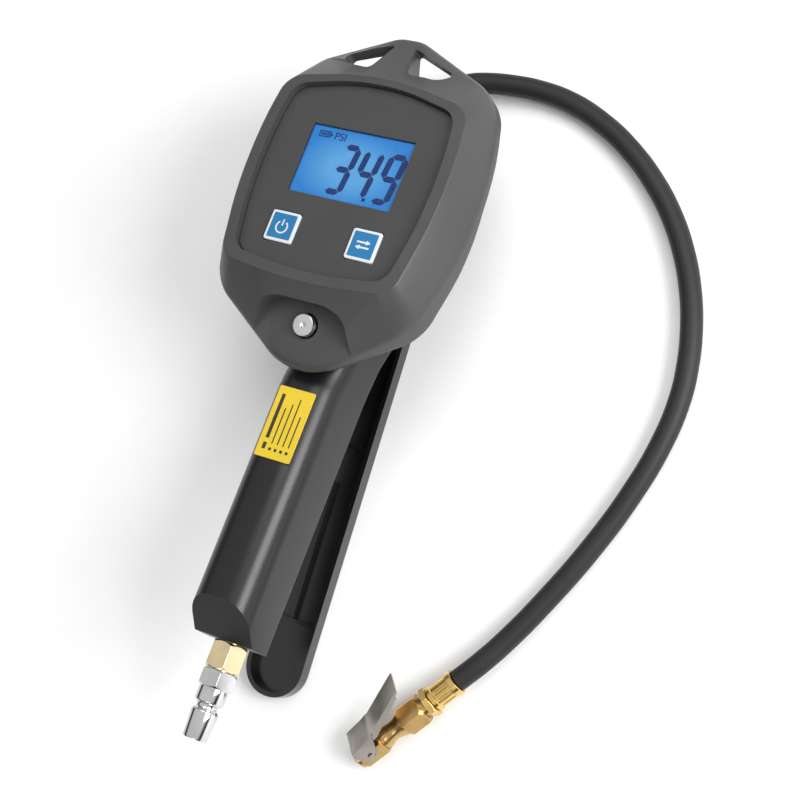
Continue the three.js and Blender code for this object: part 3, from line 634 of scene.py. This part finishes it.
def power_mark():
    """A broken ring with an upright bar."""
    x, y = -KEY[0], KEY[1]
    bm = bmesh.new()
    low, high = KEY_PRINT
    section = [bm.verts.new((r, 0, z)) for r, z in ((2.35, low), (3.05, low), (3.05, high), (2.35, high))]
    face = bm.faces.new(section)
    start = Quaternion((0, 0, 1), math.radians(125))
    bmesh.ops.rotate(bm, verts=section, cent=(0, 0, 0), matrix=start.to_matrix())
    bmesh.ops.spin(bm, geom=[face], cent=(0, 0, 0), axis=(0, 0, 1), angle=math.radians(290), steps=28)
    bmesh.ops.recalc_face_normals(bm, faces=bm.faces)
    ring = as_object(bm, "power_mark")
    bar = prism([(0.35, 0.6, 0.15), (0.35, 3.6, 0.3), (-0.35, 3.6, 0.3), (-0.35, 0.6, 0.15)], *KEY_PRINT)
    carve(ring, bar, "UNION")
    ring.data.transform(Matrix.Translation((x, y - 0.4, 0)))
    place(ring, GUN, "power_key", LOOK["print"])


def unit_mark():
    """Two arrows that point opposite ways."""
    x, y = KEY
    mark = None
    for turn in (0, math.pi):
        outline = [
            (-3.2, 0.75, 0.05), (1.2, 0.75, 0.05), (1.2, 0.1, 0.02), (3.4, 1.15, 0.05),
            (1.2, 2.3, 0.02), (1.2, 1.55, 0.05), (-3.2, 1.55, 0.05),
        ]
        arrow = prism(outline, *KEY_PRINT, "unit_mark", 1)
        arrow.data.transform(Matrix.Translation((x, y, 0)) @ Matrix.Rotation(turn, 4, "Z"))
        mark = arrow if mark is None else carve(mark, arrow, "UNION")
    place(mark, GUN, "unit_key", LOOK["print"])


power_mark()
unit_mark()

# ------------------------------------------------------------------ screen
SLANT = 0.1
DIGIT_H = 24.0
DIGIT_W = 9.4
STROKE = 2.7
INK = (-1.34, -1.22)
LIT = {"3": "abgcd", "4": "fgbc", "9": "abcdfg"}


def segment_bar(name, start, end, stroke):
    """One lit bar of a digit, pointed at both ends."""
    a, b = Vector(start), Vector(end)
    way = (b - a).normalized()
    side = Vector((-way.y, way.x)) * stroke / 2
    tip = way * stroke / 2
    gap = way * 0.22
    a, b = a + gap, b - gap
    points = [a, a + tip - side, b - tip - side, b, b - tip + side, a + tip + side]
    lean = [(p.x + p.y * SLANT, p.y, 0.05) for p in points]
    return prism(lean, *INK, name, 1)


def digit(character, left, base_y):
    """A seven-bar digit with the bars that character lights."""
    w, h = DIGIT_W - STROKE, DIGIT_H - STROKE
    spots = {
        "a": ((0, h), (w, h)), "b": ((w, h), (w, h / 2)), "c": ((w, h / 2), (w, 0)),
        "d": ((0, 0), (w, 0)), "f": ((0, h / 2), (0, h)), "g": ((0, h / 2), (w, h / 2)),
    }
    name = f"digit_{character}_{left:.0f}".replace("-", "m")
    whole = None
    for key in LIT[character]:
        start, end = spots[key]
        bar = segment_bar(name, start, end, STROKE)
        bar.data.transform(Matrix.Translation((left, base_y, 0)))
        whole = bar if whole is None else join(whole, bar)
    return place(whole, GUN, "gun", LOOK["segment"])


def join(piece, other):
    """Puts two shapes that don't touch into one mesh."""
    bm = bmesh.new()
    bm.from_mesh(piece.data)
    bm.from_mesh(other.data)
    bm.to_mesh(piece.data)
    bm.free()
    bpy.data.objects.remove(other)
    return piece


for character, left in (("3", -8.4), ("4", 3.1), ("9", 14.6)):
    digit(character, left, -12.5)
point = prism(oblong(10.2, 11.7, -13.9, -12.3, 0.3), *INK, "decimal_point")
place(point, GUN, "gun", LOOK["segment"])


def battery_sign():
    """A cell in outline with three bars and a pole."""
    outline = prism(square(1, 0.2), *INK, "battery_sign", 3)
    outline.data.transform(Matrix.Diagonal((2.6, 1.25, 1, 1)))
    inner = prism(square(1, 0.1), -2, 0, segments=2)
    inner.data.transform(Matrix.Diagonal((2.15, 0.85, 1, 1)))
    carve(outline, inner)
    for x in (-1.1, 0.1, 1.3):
        charge = prism(square(1, 0.1), *INK, segments=1)
        charge.data.transform(Matrix.Translation((x, 0, 0)) @ Matrix.Diagonal((0.38, 0.55, 1, 1)))
        join(outline, charge)
    join(outline, prism(oblong(2.75, 3.3, -0.5, 0.5, 0.1), *INK, segments=1))
    outline.data.transform(Matrix.Translation((-18.6, 12.6, 0)) @ Matrix.Diagonal((1.1, 1.2, 1, 1)))
    place(outline, GUN, "gun", LOOK["segment"])


def unit_sign():
    """The pressure unit in plain capitals."""
    words = bpy.data.curves.new("unit_text", "FONT")
    words.body = "PSI"
    words.size = 5
    words.extrude = 0.05
    words.align_x = "LEFT"
    text = bpy.data.objects.new("unit_text", words)
    bpy.context.scene.collection.objects.link(text)
    bpy.context.view_layer.update()
    letters = bmesh.new()
    letters.from_mesh(text.evaluated_get(bpy.context.evaluated_depsgraph_get()).to_mesh())
    bmesh.ops.remove_doubles(letters, verts=letters.verts, dist=1e-3)
    bpy.data.objects.remove(text)
    sign = as_object(letters, "screen_unit")
    sign.data.transform(Matrix.Translation((-13.8, 10.9, -1.28)))
    place(sign, GUN, "gun", LOOK["segment"])


battery_sign()
unit_sign()


# ------------------------------------------------------------------ bleed button
def bleed_button():
    """A turned button with a dimple, on its long stem."""
    profile = [(0, 0.75), (0.5, 0.7), (0.9, 0.45), (1.15, 0.08), (1.4, 0), (4.3, 0), (4.75, 0.15), (5, 0.6),
               (5, 3.4), (0, 3.4)]
    head = turned(profile, "bleed_button_head", 56, aim(bleed_at(0), bleed_at(1)))
    carve(head, rod(bleed_at(3.2), bleed_at(24), 1.5), "UNION")
    place(head, GUN, "bleed", LOOK["satin"], ["bleed_button"], crease=40)


bleed_button()


# ------------------------------------------------------------------ grip
def grip_loop(bm, y, half, front):
    """The grip's cross-section at y: flat at the back, well rounded at the front."""
    side = mirrored([(half, -GRIP_BACK, 3.5), (half - 0.4, -front, 11)])
    ring = rounded_loop(bm, side, 0, 10)
    verts = list({vert for edge in ring for vert in edge.verts})
    upright = Matrix(((1, 0, 0, 0), (0, 0, 1, y), (0, 1, 0, 0), (0, 0, 0, 1)))
    bmesh.ops.transform(bm, matrix=upright, verts=verts)
    return ring


def grip_body():
    """The grip from its slanted end to the seat under the head, with the lug for the lever's pin."""
    bm = bmesh.new()
    stations = [
        (GRIP_END, GRIP_HALF, GRIP_FRONT), (-92, GRIP_HALF, GRIP_FRONT), (-88, 15.02, 30.7),
        (-81, 15.2, GRIP_SEAT), (-68, 16, GRIP_SEAT), (-56, 18.4, GRIP_SEAT), (-44, 22, GRIP_SEAT),
        (6, 22, GRIP_SEAT),
    ]
    skin(bm, [grip_loop(bm, *station) for station in stations])
    bevel_top = Vector((0, -187.5, -29))
    bevel_way = Vector((0, -203.6, -49)) - bevel_top
    across = Vector((0, bevel_way.z, -bevel_way.y)).normalized()
    geom = list(bm.verts) + list(bm.edges) + list(bm.faces)
    result = bmesh.ops.bisect_plane(bm, geom=geom, plane_co=bevel_top, plane_no=across, clear_outer=True)
    rim = [item for item in result["geom_cut"] if isinstance(item, bmesh.types.BMEdge)]
    bmesh.ops.contextual_create(bm, geom=rim)
    bmesh.ops.recalc_face_normals(bm, faces=bm.faces)
    piece = as_object(bm, "grip_casting")
    lug = rod((-10, PIVOT_Y, -PIVOT_DEPTH), (10, PIVOT_Y, -PIVOT_DEPTH), 5)
    neck = block((-10, PIVOT_Y - 6, -73), (10, PIVOT_Y + 6, -60))
    carve(piece, carve(lug, neck, "UNION"), "UNION")
    carve(piece, rod((0, -206, -PLUG_DEPTH), (0, -192, -PLUG_DEPTH), 5.3))
    carve(piece, rod((-12, PIVOT_Y, -PIVOT_DEPTH), (12, PIVOT_Y, -PIVOT_DEPTH), 2.3))
    carve(piece, rod((0, VALVE_Y, -60), (0, VALVE_Y, -70), 6.3))
    place(piece, GUN, "gun", LOOK["grip"], ["grip_body"], edge=1.1)


grip_body()


def sticker():
    """A yellow sheet with plain bars in the place of its words."""
    face = -GRIP_FRONT + 0.3
    sheet = prism(oblong(-9, 9, -126, -93.5, 0.8), face, face + 0.35, "grip_sticker")
    place(sheet, GUN, "gun", LOOK["label"], ["label_plate"], edge=0.08)
    bars = [(-5.7, -97, -117.5, 1.7), (-5.7, -119.5, -122.5, 1.7)]
    for index, top in enumerate((-103, -100.5, -97.5, -105)):
        x = -2.5 + index * 2.8
        bars.append((x, top, -119.5, 0.6))
        bars.append((x, -121.3, -122.6, 1.3))
    rules = None
    for x, top, bottom, width in bars:
        corners = oblong(x - width / 2, x + width / 2, bottom, top, 0.1)
        bar = prism(corners, face + 0.34, face + 0.38, "sticker_rules", 2)
        rules = bar if rules is None else join(rules, bar)
    place(rules, GUN, "gun", LOOK["ink"])


sticker()


# ------------------------------------------------------------------ squeeze lever
def on_ground(y, depth):
    """A point of the tilted gun in the lever's own upright axes."""
    return (y * math.cos(TILT) - depth * math.sin(TILT),
            -y * math.sin(TILT) + (FLOOR_DEPTH - depth) * math.cos(TILT))


def trigger_lever():
    """A channel with a round tip, two ears for the hinge pin, ribs and a pad under the valve stem."""
    half, top, tip, wall, t, ear = 14.5, -30.5, -232, 7, 2.2, 15
    corners = mirrored([(half, tip, half * 0.97), (half, top, 3)])
    inner = mirrored([(half - t, tip + t, (half - t) * 0.97), (half - t, top - t, 3)])
    piece = prism(corners, 0, wall, "squeeze_lever", 12)
    carve(piece, prism(inner, t, wall + 2, segments=12))
    pivot_y, pivot_z = on_ground(PIVOT_Y, PIVOT_DEPTH)
    for side in (1, -1):
        cheek = prism([(pivot_y + 7.5, wall - 1, 0.5), (pivot_y + 4, ear, 3), (pivot_y - 6, ear, 6),
                       (pivot_y - 26, wall - 1, 0.5)], 0, t, segments=5)
        x = half - t if side > 0 else -half
        upright = Matrix(((0, 0, 1, x), (1, 0, 0, 0), (0, 1, 0, 0), (0, 0, 0, 1)))
        cheek.data.transform(upright)
        carve(piece, cheek, "UNION")
    ribs = [((-half + 1, -113, t - 0.5), (half - 1, -111.4, wall - 1.5)),
            ((-half + 1, -196.6, t - 0.5), (half - 1, -195, wall - 0.8)),
            ((-0.8, -196, t - 0.5), (0.8, -130, wall - 2))]
    for low, high in ribs:
        carve(piece, block(low, high), "UNION")
    valve_y = on_ground(VALVE_Y, STEM_TIP)[0]
    carve(piece, rod((0, valve_y, t - 0.5), (0, valve_y, 8.2), 4.2), "UNION")
    carve(piece, rod((-20, pivot_y, pivot_z), (20, pivot_y, pivot_z), 2.3))
    place(piece, GROUND, "trigger", LOOK["lever"], ["trigger_lever"], edge=0.5)


trigger_lever()


# ------------------------------------------------------------------ air plug and hose fittings
def down(distance):
    """A point on the air inlet's axis, distance below the grip's end."""
    return Vector((0, GRIP_END - distance, -PLUG_DEPTH))


def up(distance):
    """A point on the hose outlet's axis, distance beyond the grip's top."""
    return Vector((-15, 6 + distance, -56))


def air_plug():
    """The inlet's hexagon and the quick-coupler plug screwed into it."""
    adapter = nut(down(0.3), down(12.5), 15, "inlet_hexagon", math.pi / 6, 1.2)
    carve(adapter, rod(down(-11), down(1), 4.9), "UNION")
    carve(adapter, rod(down(5), down(14), 4.7))
    place(adapter, GUN, "gun", LOOK["pale"], ["inlet_adapter"], edge=0.2)
    profile = [(0, 5.6), (4.3, 5.6), (4.3, 16), (6.6, 16), (6.6, 26.6), (6.3, 27.2),
               (5, 28), (4.8, 28.6), (4.8, 29.3), (5.1, 30), (6.2, 30.9), (6.3, 31.6), (6.1, 34), (5.6, 42.8),
               (5.2, 43.5), (0, 43.5)]
    plug = turned(profile, "air_plug_nipple", 64, aim(down(0), down(1)))
    carve(plug, nut(down(12.8), down(20.6), 15, turn=math.pi / 6), "UNION")
    carve(plug, rod(down(5), down(45), 3.4))
    place(plug, GUN, "gun", LOOK["chrome"], ["air_plug"], edge=0.15)


def crimped_ferrule(name, node, start, end, radius, bore, body, look, base, flutes=10):
    """A sleeve pressed on in flutes, with a plain collar at each end."""
    length = (Vector(end) - Vector(start)).length
    waist = radius - 0.55
    profile = [
        (bore, 0), (radius - 0.3, 0), (radius, 0.3), (radius, 1.9), (waist, 2.3),
        (waist, length - 3.2), (radius, length - 2.8), (radius, length - 0.3), (radius - 0.3, length),
        (bore, length), (bore, 0),
    ]
    sleeve = turned(profile, name, 60, aim(start, end))
    for index in range(flutes):
        turn = Matrix.Rotation(math.tau * index / flutes, 4, "Z")
        groove = rod((0, 0, 0), (0, 0, length - 6.6), 0.95, segments=14)
        groove.data.transform(aim(start, end) @ turn @ Matrix.Translation((radius - 0.05, 0, 2.9)))
        carve(sleeve, groove)
    place(sleeve, base, body, LOOK[look], [node], edge=0.18)


def outlet():
    """The hexagon that the hose leaves by, and the sleeve crimped on the hose."""
    fitting = nut(up(0.3), up(9.5), 14, "outlet_hexagon", math.pi / 6)
    carve(fitting, rod(up(-10), up(1), 4.9), "UNION")
    carve(fitting, rod(up(9), up(25), 2.9), "UNION")
    place(fitting, GUN, "gun", LOOK["brass"], ["outlet_fitting"], edge=0.2)
    crimped_ferrule("gun_hose_ferrule", "gun_ferrule", up(9.9), up(27.5), 6.6, 3.2, "gun", "brass", GUN)


air_plug()
outlet()


# ------------------------------------------------------------------ chuck, along X from its mouth
def on(distance):
    """A point on the chuck's axis, distance behind its mouth."""
    return Vector((distance, 0, 0))


def chuck_body():
    """The mouth, the hexagon behind it, the waist and the large hexagon; then the stem and its sleeve."""
    profile = [
        (0, 0), (5.3, 0), (5.65, 0.15), (5.8, 0.5), (5.8, 1.6), (5.6, 1.9), (5, 2), (5, 14), (5.5, 14.6),
        (5.6, 15.2), (5.2, 16.4), (4.6, 18), (4.3, 19.6), (4.35, 21), (4.7, 22.5), (5.5, 24.6), (6.3, 26.4),
        (6.5, 27.2), (5.4, 28), (5.4, 39.6), (0, 39.6),
    ]
    body = turned(profile, "chuck_brass_body", 64, aim(on(0), on(1)))
    carve(body, nut(on(1.7), on(14.3), 12, turn=math.pi / 2, chamfer=0.8), "UNION")
    carve(body, nut(on(26.6), on(38), 13.2, turn=math.pi / 2, chamfer=1.5), "UNION")
    bore = turned([(0, -1), (4.5, -1), (4.5, 0), (4.2, 0.8), (4.2, 10.4), (0, 10.4)], line=aim(on(0), on(1)))
    carve(body, bore)
    carve(body, block((1, 3, -3.2), (5.2, 9, 3.2)))
    for side in (1, -1):
        carve(body, rod((7.5, 1.5, side * 4.9), (7.5, 1.5, side * 7), 1.4))
    place(body, CHUCK, "gun", LOOK["bronze"], ["chuck_body"], edge=0.15)
    stem = nut(on(39.9), on(43.2), 12.4, "chuck_stem_hexagon", chamfer=0.6)
    carve(stem, rod(on(43), on(56.4), 2.9), "UNION")
    place(stem, CHUCK, "gun", LOOK["brass"], ["chuck_stem"], edge=0.15)
    crimped_ferrule("chuck_hose_ferrule", "chuck_ferrule", on(43.5), on(57), 5.9, 3.2, "gun", "brass", CHUCK)


def clip():
    """A bent strip with a cheek on each side of the chuck and narrow stiffening lips."""
    bent = [(2, 7.6, 0.2), (13, 9, 2), (38, 20.2, 0.3), (37.6, 21.2, 0.3), (12.7, 10.1, 2), (2, 8.7, 0.2)]
    thumb = prism(bent, -7.2, 7.2, "clip_pressing", 4)
    lips = [(15, 7.2, 0.5), (36.3, 18.4, 1.5), (36, 19.6, 0.3), (13, 9.6, 0.3), (13, 7.6, 0.3)]
    cheek = [
        (2, 8.2, 0.3), (2.4, 4, 1), (5.6, -0.9, 1.6),
        (9.4, -0.9, 1.6), (14.5, 9.6, 0.5), (12.9, 10, 0.3),
    ]
    narrow = block((0, 0, -7.2), (15, 30, 7.2))
    carve(narrow, block((14, 0, -6.2), (40, 30, 6.2)), "UNION")
    carve(thumb, narrow, "INTERSECT")
    for low, high in ((6.4, 7.2), (-7.2, -6.4)):
        carve(thumb, prism(cheek, low, high), "UNION")
    for low, high in ((5.5, 6.2), (-6.2, -5.5)):
        carve(thumb, prism(lips, low, high), "UNION")
    carve(thumb, block((2, 5, -2.4), (3.4, 8.2, 2.4)), "UNION")
    carve(thumb, rod((7.5, 1.5, -9), (7.5, 1.5, 9), 1.4))
    place(thumb, CHUCK, "chuck_clip", LOOK["clip"], ["clip_lever"], edge=0.22, crease=12)


chuck_body()
clip()


# ------------------------------------------------------------------ wound springs
def coil(node, start, end, radius, wire, turns, base, joint=None):
    """A spring wound from start to end; one on a joint gets a mesh of its own."""
    way = Vector(end) - Vector(start)
    steps = round(turns * 20)
    bm = bmesh.new()
    bmesh.ops.create_circle(bm, cap_ends=True, radius=wire, segments=10)
    upright = Matrix.Translation((radius, 0, wire)) @ Matrix.Rotation(math.pi / 2, 4, "X")
    bmesh.ops.transform(bm, matrix=upright, verts=bm.verts)
    rise = (way.length - 2 * wire) / steps
    bmesh.ops.spin(bm, geom=list(bm.faces), cent=(0, 0, 0), axis=(0, 0, 1), dvec=(0, 0, rise),
                   angle=math.tau * turns, steps=steps)
    bmesh.ops.recalc_face_normals(bm, faces=bm.faces)
    bmesh.ops.transform(bm, matrix=aim(start, end), verts=bm.verts)
    wound = place(as_object(bm, node + "_coil"), base, "gun", LOOK["spring"], [node], crease=50)
    if joint:
        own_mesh(wound)


VALVE_CAP = (0, VALVE_Y, -36.3)
CLIP_SEAT = (11.2, 7.2, 0)
coil("bleed_spring", bleed_at(3.7), bleed_at(7.7), 2.65, 0.4, 2.5, GUN, "bleed_press")
coil("valve_spring", VALVE_CAP, (0, VALVE_Y, -41.2), 3.4, 0.45, 2.5, GUN, "valve_slide")
coil("lever_spring", (10.3, PIVOT_Y, -PIVOT_DEPTH), (11.8, PIVOT_Y, -PIVOT_DEPTH), 3.4, 0.35, 1.8, GUN)
coil("core_spring", on(13.9), on(19), 1.25, 0.25, 5, CHUCK, "core_slide")
coil("clip_spring", CLIP_SEAT, (11.3, 8.2, 0), 1.7, 0.25, 1.5, CHUCK, "clip_hinge")

# ------------------------------------------------------------------ finishes of the frame's own pieces
FRAME_LOOKS = {"brass": "bronze"}
slots = {row["node"]: row["material_slot"] for row in frame["record"]["subparts"]}
for node, piece in frame["nodes"].items():
    look = LOOK[FRAME_LOOKS.get(slots[node], slots[node])]
    piece.data.materials.clear()
    piece.data.materials.append(look)

# ------------------------------------------------------------------ floor and light
floor_bm = bmesh.new()
bmesh.ops.create_grid(floor_bm, x_segments=1, y_segments=1, size=4)
floor = as_object(floor_bm, "floor")
floor.location.z = -0.0005
floor.data.materials.append(moulded("pale_floor", (0.86, 0.86, 0.86), 0.7, 2, 0.01, 0.01))


def studio_walls():
    """White all round, with dark walls low down that give metal its contrast."""
    world = bpy.data.worlds.new("studio")
    bpy.context.scene.world = world
    world.use_nodes = True
    nodes, links = world.node_tree.nodes, world.node_tree.links
    direction = nodes.new("ShaderNodeTexCoord")
    direction.label = "direction"
    direction.location = (-840, 0)
    height = nodes.new("ShaderNodeSeparateXYZ")
    height.label = "height above the horizon"
    height.location = (-640, 0)
    tones = nodes.new("ShaderNodeValToRGB")
    tones.label = "dark walls, bright ceiling"
    tones.location = (-440, 0)
    tones.color_ramp.elements[0].position = 0.08
    tones.color_ramp.elements[0].color = (0.9, 0.9, 0.9, 1)
    tones.color_ramp.elements[1].position = 0.6
    tones.color_ramp.elements[1].color = (0.9, 0.9, 0.9, 1)
    for wall in (0.14, 0.32):
        tones.color_ramp.elements.new(wall).color = (0.02, 0.02, 0.02, 1)
    light = nodes["Background"]
    light.inputs["Strength"].default_value = 0.8
    links.new(direction.outputs["Generated"], height.inputs["Vector"])
    links.new(height.outputs["Z"], tones.inputs["Fac"])
    links.new(tones.outputs["Color"], light.inputs["Color"])


def softbox(name, spot, target, size, power):
    """A flat lamp at spot that shines at target."""
    data = bpy.data.lights.new(name, "AREA")
    data.shape = "RECTANGLE"
    data.size, data.size_y = size
    data.energy = power
    lamp = bpy.data.objects.new(name, data)
    bpy.context.scene.collection.objects.link(lamp)
    way = Vector(target) - Vector(spot)
    lamp.matrix_world = Matrix.Translation(spot) @ way.to_track_quat("-Z", "Y").to_matrix().to_4x4()


studio_walls()
softbox("key_right", (1.2, 0.2, 0.8), (0, 0, 0.05), (0.8, 0.8), 24)
softbox("front_low", (0.2, -1.3, 0.9), (0, 0, 0.05), (0.7, 0.5), 2)
softbox("top", (0.2, 0.9, 1.4), (0, 0, 0), (1, 1), 10)
